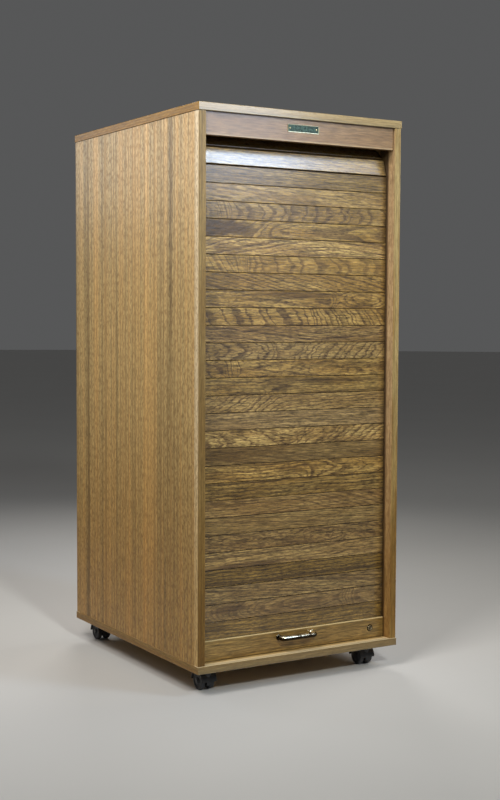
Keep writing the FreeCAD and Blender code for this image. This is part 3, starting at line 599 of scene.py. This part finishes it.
# Curtain slats: flat oak slats sawn from many boards, so each has its own figure, shade and depth of stain. Their ends
# are rebated into tongues that run in the side tracks, and canvas glued behind joins them. Listed from the lowest up.
shades = {
    "gold": (tone(165, 134, 76), tone(78, 56, 28), tone(143, 111, 58)),
    "tan": (tone(159, 131, 80), tone(78, 57, 33), tone(138, 110, 64)),
    "umber": (tone(146, 118, 71), tone(74, 53, 31), tone(126, 98, 56)),
    "pale": (tone(177, 147, 90), tone(90, 66, 37), tone(156, 124, 72)),
    "brown": (tone(121, 95, 46), tone(62, 44, 18), tone(104, 80, 36)),
    "grey": (tone(150, 124, 80), tone(76, 58, 38), tone(130, 105, 66)),
}
seam_half, seam_soft, seam_dark = 18.75, 0.9, 0.75
track_mouth, mouth_soft, mouth_dark = 247.0, 14.0, 0.6
slats = [
    ("brown", dict(ring=6.0, across=0.7, slope=0.012, contrast=0.9, stain=1.4, patches=[(-240, 70, 4, 12, 0.6)])),
    ("umber", dict(ring=4.0, curve=0.016, bend=0.0006, peak=35.0, contrast=0.75,
                   patches=[(-165, 50, 6, 9, 0.7), (30, 40, 2, 8, 0.3)],
                   then=(110, 170, dict(ring=4.0, slope=-0.1, vee=0.1)))),
    ("tan", dict(ring=3.4, across=0.4, slope=0.04, contrast=0.9, stain=0.9,
                 patches=[(-160, 30, 9, 9, 0.5), (-140, 50, -4, 6, 0.3)])),
    ("brown", dict(ring=6.5, across=0.8, slope=-0.012, wobble=0.6, contrast=1.1, stain=1.18)),
    ("tan", dict(ring=7.0, across=0.75, slope=-0.03, wobble=0.9, drift=3.0, contrast=0.9, stain=1.13,
                 patches=[(-100, 90, -14, 7, 0.75), (-190, 60, -16, 5, 0.5)])),
    ("umber", dict(ring=2.6, across=0.3, slope=0.05, wobble=2.0, contrast=0.85, fleck=0.9, stain=0.97)),
    ("tan", dict(ring=3.0, across=0.5, slope=0.03, contrast=0.85, fleck=0.5, stain=0.92)),
    ("umber", dict(ring=6.0, across=0.7, slope=0.012, contrast=0.85, stain=1.12,
                   patches=[(-200, 30, 12, 8, 0.5), (-145, 22, 14, 8, 0.5), (-105, 14, 15, 6, 0.4)],
                   then=(-60, 60, dict(ring=3.0, across=0.4, slope=0.1)))),
    ("gold", dict(ring=8.5, across=0.95, slope=-0.008, wobble=0.5, drift=1.5, stain=0.79)),
    ("gold", dict(ring=5.0, across=0.7, slope=-0.01, stain=1.14, patches=[(-215, 70, -5, 9, 0.5), (-10, 50, 2, 9, 0.6)],
                  then=(-20, 60, dict(ring=5.0, slope=0.11, curve=0.012, wobble=0.6)))),
    ("umber", dict(ring=3.0, across=0.4, slope=0.05, contrast=0.7, stain=0.77, patches=[(-190, 70, 0, 14, 0.35)])),
    ("pale", dict(ring=3.2, across=0.15, slope=0.07, vee=0.12, wobble=1.4, fleck=0.7,
                  then=(-60, 40, dict(ring=3.2, across=0.2, slope=-0.14)))),
    ("grey", dict(ring=3.0, across=0.5, slope=0.012, wobble=1.5, contrast=0.8, fleck=0.7, stain=1.06)),
    ("tan", dict(ring=3.0, across=0.25, slope=-0.14, contrast=1.0, stain=1.04,
                 then=(-130, 20, dict(ring=4.0, across=0.6, slope=-0.02)))),
    ("gold", dict(ring=4.0, across=0.5, slope=0.0, vee=0.25, wobble=1.2, contrast=0.9, stain=0.76,
                  patches=[(-55, 45, 0, 16, 0.45), (60, 110, 8, 9, 0.55)],
                  then=(-90, -60, dict(ring=4.0, slope=0.012, curve=0.02, axis=-3.0)))),
    ("gold", dict(ring=4.0, across=0.2, slope=0.1, wobble=1.8, patches=[(-215, 50, 3, 14, 0.5), (120, 110, 6, 8, 0.45)],
                  then=(-190, -130, dict(ring=4.0, slope=-0.03, curve=0.016, wobble=1.0)))),
    ("tan", dict(ring=2.8, slope=0.1, vee=0.12, wobble=1.6, fleck=0.6, stain=0.94,
                 then=(-80, 20, dict(ring=2.8, across=0.14, slope=-0.14)))),
    ("umber", dict(ring=3.4, across=0.45, slope=0.05, wobble=1.5, contrast=1.0, stain=1.04,
                   patches=[(-200, 60, 0, 14, 0.4)],
                   then=(0, 120, dict(ring=4.4, across=0.6, slope=-0.03)))),
    ("gold", dict(ring=3.0, across=0.06, slope=0.095, wobble=0.8, drift=1.0, patches=[(-235, 40, 0, 16, 0.45)],
                  then=(10, 70, dict(ring=3.0, across=0.16, slope=0.2, vee=0.05)))),
    ("gold", dict(ring=5.0, slope=-0.035, curve=0.022, axis=-2.0, wobble=1.0,
                  patches=[(-225, 30, -4, 14, 0.5), (20, 130, 10, 8, 0.65), (180, 40, -14, 5, 0.6)],
                  then=(90, 125, dict(ring=3.2, curve=0.02, bend=0.0016, peak=192.0, axis=2.0, wobble=0.6)))),
    ("gold", dict(ring=3.2, across=0.4, slope=0.092, wobble=0.6, drift=1.2, patches=[(-200, 80, 0, 20, 0.35)])),
    ("gold", dict(ring=2.8, across=0.18, slope=0.2, wobble=0.8, contrast=0.8,
                  then=(-160, -110, dict(ring=3.0, slope=0.085, vee=0.06, across=0.02)))),
    ("pale", dict(ring=4.0, across=0.4, bend=0.0002, peak=67.0, wobble=0.6, patches=[(-175, 40, -4, 10, 0.5)])),
    ("gold", dict(ring=3.4, across=0.2, slope=-0.12, wobble=0.8, contrast=0.9, stain=0.95,
                  patches=[(-220, 105, 0, 24, 0.92)],
                  then=(-110, -20, dict(ring=4.0, slope=-0.03, curve=0.013, axis=-2.0)))),
    ("tan", dict(ring=3.0, across=0.1, slope=0.16, vee=0.1, wobble=0.9, contrast=0.9, stain=0.88,
                 then=(-210, -150, dict(ring=3.0, slope=0.1, vee=0.085, wobble=0.8)))),
    ("tan", dict(ring=3.4, across=0.35, slope=0.04, wobble=1.4, contrast=0.7, fleck=0.7, stain=1.02)),
    ("tan", dict(ring=4.0, across=0.6, slope=0.014, contrast=0.8, fleck=0.6, stain=0.72)),
    ("tan", dict(ring=3.0, across=0.35, slope=0.03, wobble=1.8, contrast=0.75, fleck=0.7, hair=2.0)),
    ("brown", dict(ring=3.0, across=0.5, slope=0.01)),
]
bend_radius = 0.064
slat_names = ["slat_%02d" % (i + 1) for i in range(len(slats))]
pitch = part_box("slat_02")[0].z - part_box("slat_01")[0].z
upright = len([n for n in slat_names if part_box(n)[0].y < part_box("slat_01")[0].y + 0.01 * mm])
half_bend = math.asin(pitch / 2 / bend_radius)
for number, (name, (shade, cut)) in enumerate(zip(slat_names, slats), 1):
    finish, shader, place = new_finish("oak_" + name)
    low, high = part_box(name)
    lean = half_bend * max(0, 2 * (number - upright) - 1)
    turn = {"Vector": place, "Location": (low + high) / 2, "Rotation": (-lean, 0, 0)}
    x, y, z = in_mm(place.add("ShaderNodeMapping", {"vector_type": "TEXTURE"}, turn))
    colour, line, fibres = oak(x, z, y, oak_cut(**cut), shades[shade], seed=number * 9.0)
    # Each slat is darker along its long edges, at the seams.
    edge = z if number == 1 else abs(z)
    edge_darkening = seam_dark * edge.rise(seam_half - seam_soft, seam_half)
    # Painted shadow: each slat darkens towards both ends, where the sides shade it.
    jamb_shade = mouth_dark * abs(x).rise(track_mouth - mouth_soft, track_mouth)
    colour = edge_darkening.maths("MAXIMUM", edge_darkening, jamb_shade).mix(colour, tone(40, 26, 14))
    lacquer(shader, colour, line, fibres, rough=0.26, coat=0.6)
    dress(finish, name)

# Canvas: one piece of unbleached cotton canvas is glued to the backs of the slats and of the rail and is what hinges
# them. It is cut here into one strip for each slat, so that each strip goes along its track with its slat.
canvas_wide, canvas_thick, canvas_front = 471.0, 0.6, -278.0
fold_room, seam = 0.25, 0.05
rail_canvas, thread_turn = (86.0, 116.0), 4.2
pull_x, pull_z = 44.5, 102.0
canvas_cloth, shader, place = new_finish("cotton_canvas")
x, y, z = in_mm(place)
along = z + y
warp, weft = x.maths("SINE", x * thread_turn), along.maths("SINE", along * thread_turn)
weave = (warp * weft).rise(-1.0, 1.0)
slub = place.noise((0.03, 0.002, 0.002), 5.0, 3.0)
cloth = weave.mix(tone(168, 154, 122), tone(204, 190, 156)).shaded(0.75 + 0.5 * slub)
cloth.feed(shader, "Base Color")
weave.add("ShaderNodeBump", {}, {"Strength": 0.4, "Distance": 0.0003, "Height": weave}).feed(shader, "Normal")
shader.inputs["Roughness"].default_value = 0.92
shader.inputs["Sheen Weight"].default_value = 0.2


def lay_canvas(name, node, height, lean, foot, cutters=()):
    """Lays a strip behind a slat: foot is the y and z of its lower edge, and it leans back by lean."""
    bpy.ops.object.select_all(action="DESELECT")
    bpy.ops.mesh.primitive_grid_add(x_subdivisions=40, y_subdivisions=4, size=1)
    strip = bpy.context.object
    strip.scale = canvas_wide * mm, (height - 2 * seam) * mm, 1
    set_in(strip, (0, height / 2, 0))
    wall = strip.modifiers.new("thickness", "SOLIDIFY")
    wall.thickness, wall.offset = canvas_thick * mm, -1.0
    bpy.ops.object.modifier_apply(modifier=wall.name)
    bpy.ops.object.mode_set(mode="EDIT")
    pick("FACE", lambda middle, out: out.z < -0.9)
    pulled_in = 1 - 2 * fold_room / height
    bpy.ops.transform.resize(value=(1, pulled_in, 1), center_override=(0, height / 2 * mm, 0))
    bpy.ops.object.mode_set(mode="OBJECT")
    set_in(strip, (0, foot[0], foot[1]), (90 - math.degrees(lean), 0, 0))
    for cutter in cutters:
        carve(strip, cutter)
    strip.name = name
    strip.data.materials.append(canvas_cloth)
    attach(strip, nodes[node]["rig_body"])
    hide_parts("canvas_backing")


slat_width = pitch / mm
curtain_foot = rail_canvas[1]
bend_foot = curtain_foot + upright * slat_width
for number, name in enumerate(slat_names):
    bent = max(0, number - upright)
    swung = 2 * half_bend * bent
    foot = canvas_front, curtain_foot + min(number, upright) * slat_width
    if bent:
        foot = (canvas_front + bend_radius / mm * (1 - math.cos(swung)), bend_foot + bend_radius / mm * math.sin(swung))
    lean = 0.0 if number < upright else swung + half_bend
    lay_canvas("canvas_" + name, name, slat_width, lean, foot)
hole_radius, notch_half, notch_top, notch_tall, cut_half = 6.0, 17.0, 111.0, 60.0, 3.0
hole_rings = [(-cut_half, hole_radius), (cut_half, hole_radius)]
cutters = [set_in(turned(hole_rings, 24), (side * pull_x, canvas_front, pull_z), (90, 0, 0)) for side in (-1, 1)]
notch = block(2 * notch_half, 2 * cut_half, notch_tall)
cutters.append(set_in(notch, (lock_x, canvas_front, notch_top - notch_tall / 2)))
rail_height = rail_canvas[1] - rail_canvas[0]
lay_canvas("canvas_rail", "bottom_rail", rail_height, 0.0, (canvas_front, rail_canvas[0]), cutters)

# Bottom rail of the curtain: a thicker oak rail with an even straight grain, drilled for the pull and the lock.
# The lowest slat meets it, and it carries the whole curtain up when the pull is lifted.
finish, shader, place = new_finish("oak_rail")
x, y, z = in_mm(place)
rail_tones = tone(148, 120, 65), tone(102, 73, 36), tone(132, 103, 51)
rail_cut = oak_cut(ring=3.0, across=0.8, slope=0.006, wobble=0.5, contrast=0.6)
colour, line, fibres = oak(x, z, y, rail_cut, rail_tones, seed=61.0)
rail_foot, rail_top = [corner.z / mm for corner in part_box("bottom_rail")]
lip_wide, lip_full, lip_highlight = 2.4, 0.8, 0.65
foot_full, foot_wide, foot_dark = 0.8, 3.0, 0.8
# Painted highlight: a pale line along the top of the rail's front, where its upper edge catches the light.
colour = (lip_highlight * z.rise(rail_top - lip_wide, rail_top - lip_full)).mix(colour, tone(220, 194, 140))
# Painted shadow: the rail is darkened along its foot, where it meets the sill.
edge_darkening = foot_dark * (1.0 - z.rise(rail_foot + foot_full, rail_foot + foot_wide))
colour = edge_darkening.mix(colour, tone(58, 38, 18))
lacquer(shader, colour, line, fibres, coat=0.1)
dress(finish, "bottom_rail")

# Pull: a bow of round bar, bent at both ends into posts that stand on small turned feet. It is nickel-plated, and
# two screws from behind the rail hold it. Its underside is painted dark as shade, and dark blotches along the bar
# are painted dark reflections.
bow_radius, bow_corner, bow_reach = 5.4, 9.0, 19.6
bow_points, bow_steps, bend_steps = 32, 8, 10
rail_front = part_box("bottom_rail")[0].y / mm
foot_rings = [(-0.2, 6.8), (0.7, 6.8), (1.3, 6.6), (1.8, 6.1), (2.0, 5.2)]
bpy.ops.object.select_all(action="DESELECT")
bpy.ops.mesh.primitive_circle_add(vertices=bow_points, radius=bow_radius * mm, fill_type="NOTHING")
bow = bpy.context.object
set_in(bow, (-pull_x, 0, 0))
post = bow_reach - bow_corner
bpy.ops.object.mode_set(mode="EDIT")
bpy.ops.mesh.select_all(action="SELECT")
bpy.ops.mesh.extrude_region_move(TRANSFORM_OT_translate={"value": (0, 0, post * mm)})
bend_at = Vector((bow_corner - pull_x, 0, post)) * mm
bpy.ops.mesh.spin(steps=bend_steps, angle=math.pi / 2, center=bend_at, axis=(0, -1, 0))
for step in range(bow_steps):
    along = 2 * (pull_x - bow_corner) / bow_steps
    bpy.ops.mesh.extrude_region_move(TRANSFORM_OT_translate={"value": (along * mm, 0, 0)})
bend_at.x = -bend_at.x
bpy.ops.mesh.spin(steps=bend_steps, angle=math.pi / 2, center=bend_at, axis=(0, -1, 0))
bpy.ops.mesh.extrude_region_move(TRANSFORM_OT_translate={"value": (0, 0, -post * mm)})
bpy.ops.mesh.select_all(action="SELECT")
bpy.ops.mesh.fill_holes(sides=bow_points)
bpy.ops.mesh.normals_make_consistent(inside=False)
bpy.ops.object.mode_set(mode="OBJECT")
feet = [set_in(turned(foot_rings, bow_points), (side * pull_x, 0, 0)) for side in (-1, 1)]
pull = set_in(joined([bow] + feet), (0, rail_front, pull_z), (90, 0, 0))
polished, shader, place = new_finish("polished_nickel")
x, y, z = in_mm(place)
smear = place.noise((0.004, 0.004, 0.004), 6.0, 4.0)
# Painted shade: the bow is darker towards its underside.
shade_and_blotch = ((pull_z - z) / bow_radius + 0.5 * (smear - 0.5)).rise(-0.7, 0.0)
dent = place.noise((0.016, 0.01, 0.01), 3.0, 2.0)
dent.add("ShaderNodeBump", {}, {"Strength": 0.5, "Distance": 0.0008, "Height": dent}).feed(shader, "Normal")
# Painted reflections: dark blotches along the bar.
blotch = place.noise((0.011, 0.02, 0.02), 9.0, 1.0).rise(0.47, 0.56)
shade_and_blotch = shade_and_blotch + 0.75 * blotch * (1.0 - shade_and_blotch)
shade_and_blotch.mix(tone(255, 246, 218), tone(44, 33, 19)).feed(shader, "Base Color")
(0.24 - 0.16 * shade_and_blotch + 0.06 * smear).feed(shader, "Roughness")
shader.inputs["Metallic"].default_value = 1.0
fit([pull], "bow_pull", "pull", "bright_metal", polished)
screw_head = [(-9.0, 2.0), (0.0, 2.0), (0.0, 4.0), (1.2, 3.9), (2.0, 3.2), (2.4, 1.8), (2.5, 0.4)]
heads = [set_in(turned(screw_head, 24), (side * pull_x, canvas_front, pull_z), (-90, 0, 0)) for side in (-1, 1)]
fit(heads, "pull_screw_heads", "pull_screws", "steel", zinc)

# Lock: a brass cylinder lock. Its turned bezel shows on the rail, the barrel goes through to a cast housing behind,
# and the plug with its key slot turns in the barrel and throws the bolt down into the strike plate.
lock_z, housing_wide, housing_low, housing_high = 94.0, 26.0, 71.5, 107.0
housing_deep, housing_round, bolt_room, channel_past = 12.0, 1.2, 0.3, 5.0
barrel_back = canvas_front - rail_front
plug_front = rail_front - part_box("lock_plug")[0].y / mm
bezel_rings = [(-barrel_back, 6.4), (-barrel_back, 8.0), (0.0, 8.0), (0.0, 9.5), (0.7, 9.5), (1.3, 9.2), (1.7, 8.6),
               (1.8, 7.9), (1.6, 7.2), (1.1, 6.7), (0.8, 6.4), (-barrel_back, 6.4)]
plug_rings = [(-barrel_back, 6.2), (plug_front - 0.5, 6.2), (plug_front - 0.1, 5.9), (plug_front, 5.4)]
slot_wide, slot_tall, slot_deep = 2.2, 8.2, 3.0
bezel = set_in(turned(bezel_rings, 48), (lock_x, rail_front, lock_z), (90, 0, 0))
housing = block(housing_wide, housing_deep, housing_high - housing_low)
set_in(housing, (lock_x, canvas_front + housing_deep / 2, (housing_high + housing_low) / 2))
bpy.ops.object.mode_set(mode="EDIT")
pick("EDGE", lambda middle, run: middle.y > (canvas_front + 1.0) * mm)
bpy.ops.mesh.bevel(offset=housing_round * mm, segments=3)
bpy.ops.object.mode_set(mode="OBJECT")
bolt_low, bolt_high = [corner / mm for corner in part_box("lock_bolt")]
channel_foot = housing_low - channel_past
channel_top = bolt_high.z + bolt_room
channel = block(*[bolt_high[i] - bolt_low[i] + 2 * bolt_room for i in (0, 1)], channel_top - channel_foot)
middle = (bolt_low + bolt_high) / 2
carve(housing, set_in(channel, (middle.x, middle.y, (channel_top + channel_foot) / 2)))
dark_brass = metal("lock_bronze", tone(128, 113, 84), tone(46, 37, 24), rough=0.14, wear=0.1)
key_brass = metal("key_plug_brass", tone(166, 152, 122), tone(56, 46, 30), rough=0.12, wear=0.12)
fit([bezel, housing], "lock_case", "lock_body", "bright_metal", dark_brass)
plug = turned(plug_rings, points=40)
carve(plug, set_in(block(slot_wide, slot_tall, 2 * slot_deep), (0, 0, plug_front)))
set_in(plug, (lock_x, rail_front, lock_z), (90, 0, 0))
fit([plug], "key_plug", "lock_plug", "bright_metal", key_brass)
dress(zinc, "lock_bolt")

# Studio: a plain pale floor. A cool window light high on the right glosses the slat that leans back, with weaker ones
# beside and below it; the front light is on the door and the pull, and soft ones stand at the left, right and back.
bpy.ops.object.select_all(action="DESELECT")
floor_radius = 30.0
bpy.ops.mesh.primitive_circle_add(vertices=96, radius=floor_radius, fill_type="NGON")
floor = bpy.context.object
floor.name = "studio_floor"
finish, shader, place = new_finish("pale_floor")
place.noise((0.6, 0.6, 0.6), 1.0, 3.0).mix(tone(206, 204, 200), tone(200, 198, 194)).feed(shader, "Base Color")
shader.inputs["Roughness"].default_value = 0.7
floor.data.materials.append(finish)
floor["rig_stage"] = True


def soft_light(name, place, aim, size, power, colour, spread=100):
    bpy.ops.object.light_add(type="AREA", location=place)
    light = bpy.context.object
    light.name = name
    light.data.shape = "RECTANGLE"
    light.data.size, light.data.size_y = size
    light.data.energy = power
    light.data.color = colour
    light.data.spread = math.radians(spread)
    toward = Vector(aim) - light.location
    light.rotation_euler = toward.to_track_quat("-Z", "Y").to_euler()


soft_light("window_light", (1.04, -1.85, 2.3), aim=(0.0, -0.3, 1.17), size=(0.46, 0.85), power=3.3,
           colour=(0.59, 0.77, 1.0), spread=60)
soft_light("warm_light", (1.48, -1.72, 2.4), aim=(0.1, -0.3, 1.17), size=(0.5, 0.85), power=0.35,
           colour=(1.0, 0.84, 0.7), spread=60)
soft_light("low_light", (0.8, -2.05, 1.58), aim=(-0.1, -0.3, 1.2), size=(0.5, 0.5), power=0.8,
           colour=(0.62, 0.77, 1.0), spread=60)
soft_light("haze_light", (0.85, -2.05, 0.95), aim=(-0.1, -0.3, 0.9), size=(0.7, 0.9), power=0.25,
           colour=(0.6, 0.76, 1.0))
soft_light("front_light", (-0.6, -2.9, 2.2), aim=(0.0, -0.3, 1.1), size=(0.3, 0.3), power=16.8,
           colour=(0.93, 0.97, 0.96))
soft_light("left_light", (-1.45, -0.9, 2.35), aim=(-0.26, 0.0, 1.15), size=(0.9, 0.9), power=14.4,
           colour=(1.0, 0.97, 0.94))
soft_light("back_light", (-1.9, 3.2, 1.95), aim=(-0.26, 0.0, 1.15), size=(1.2, 1.2), power=3.1,
           colour=(0.95, 0.97, 1.0), spread=80)
soft_light("rear_light", (1.3, 2.7, 2.2), aim=(0.1, 0.3, 0.7), size=(1.2, 1.2), power=9.0, colour=(1.0, 0.97, 0.93))
soft_light("right_light", (2.4, 0.2, 2.1), aim=(0.26, 0.0, 0.9), size=(1.2, 1.2), power=6.0, colour=(1.0, 0.97, 0.93))
world = bpy.data.worlds.new("studio")
world.use_nodes = True
room = world.node_tree.nodes["Background"].inputs
room["Color"].default_value = (0.95, 0.96, 0.97, 1.0)
room["Strength"].default_value = 0.1
bpy.context.scene.world = world
bpy.context.scene.view_settings.view_transform = "Standard"

# Camera: at the place and angle that the photograph was taken from, fitted to the corners of the body. The image
# is 500 by 800 pixels.
image_width = 500
focal_pixels = 1331.7
eye = Vector((-1.6289, -2.7756, 0.8171))
yaw, dip, roll = [math.radians(a) for a in (31.227, 3.547, 0.248)]
bpy.ops.object.camera_add(location=eye)
camera = bpy.context.object
camera.rotation_euler = (math.pi / 2 - dip, -roll, -yaw)
camera.data.sensor_fit = "HORIZONTAL"
camera.data.sensor_width = 36.0
camera.data.lens = focal_pixels * camera.data.sensor_width / image_width
bpy.context.scene.camera = camera

low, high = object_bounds()
